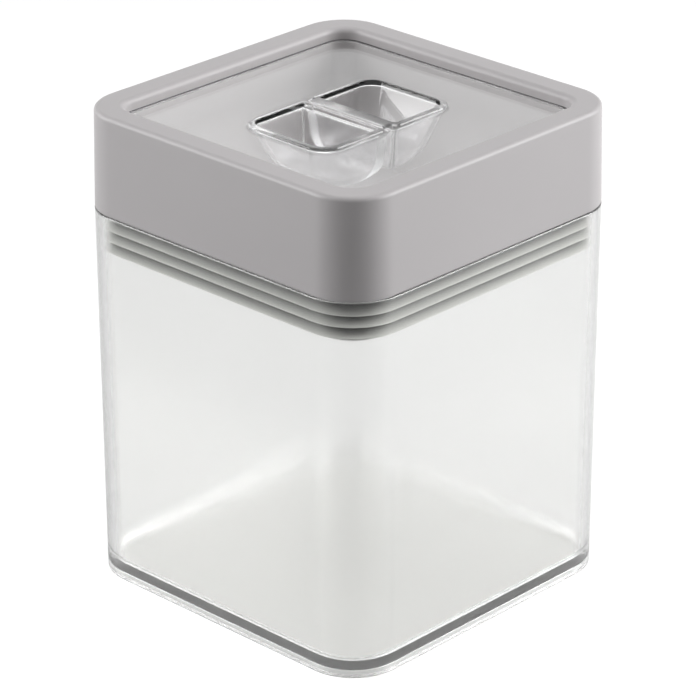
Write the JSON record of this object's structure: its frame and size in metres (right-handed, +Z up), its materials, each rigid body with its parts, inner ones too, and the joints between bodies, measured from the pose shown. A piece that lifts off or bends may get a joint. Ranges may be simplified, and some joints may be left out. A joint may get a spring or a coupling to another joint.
{
  "type": "food storage container",
  "caption": "Square clear container, frosted inside, with a lift-off grey frame lid, a clear grip insert with two finger cups and a finned seal.",
  "frame": {"origin": "centre of the foot ring, on the surface that the container stands on", "axes": "+Z up along the height, +X and +Y towards two flat sides, +X along the bridge between the finger cups"},
  "size_m": [0.101, 0.101, 0.1308],
  "materials": {
    "clear_container": "clear plastic, polished outside and frosted inside",
    "grey_lid": "satin moulded",
    "clear_grip": "clear polished plastic",
    "seal_rubber": "matte silicone"
  },
  "bodies": {
    "container": {"container_body": "clear_container"},
    "lid": {"lid_frame": "grey_lid", "grip_insert": "clear_grip", "lid_seal": "seal_rubber"}
  },
  "joints": [
    {"name": "lid_lift", "type": "slide", "parent": "container", "child": "lid", "axis": [0, 0, 1], "range_m": [0, 0.06]}
  ]
}
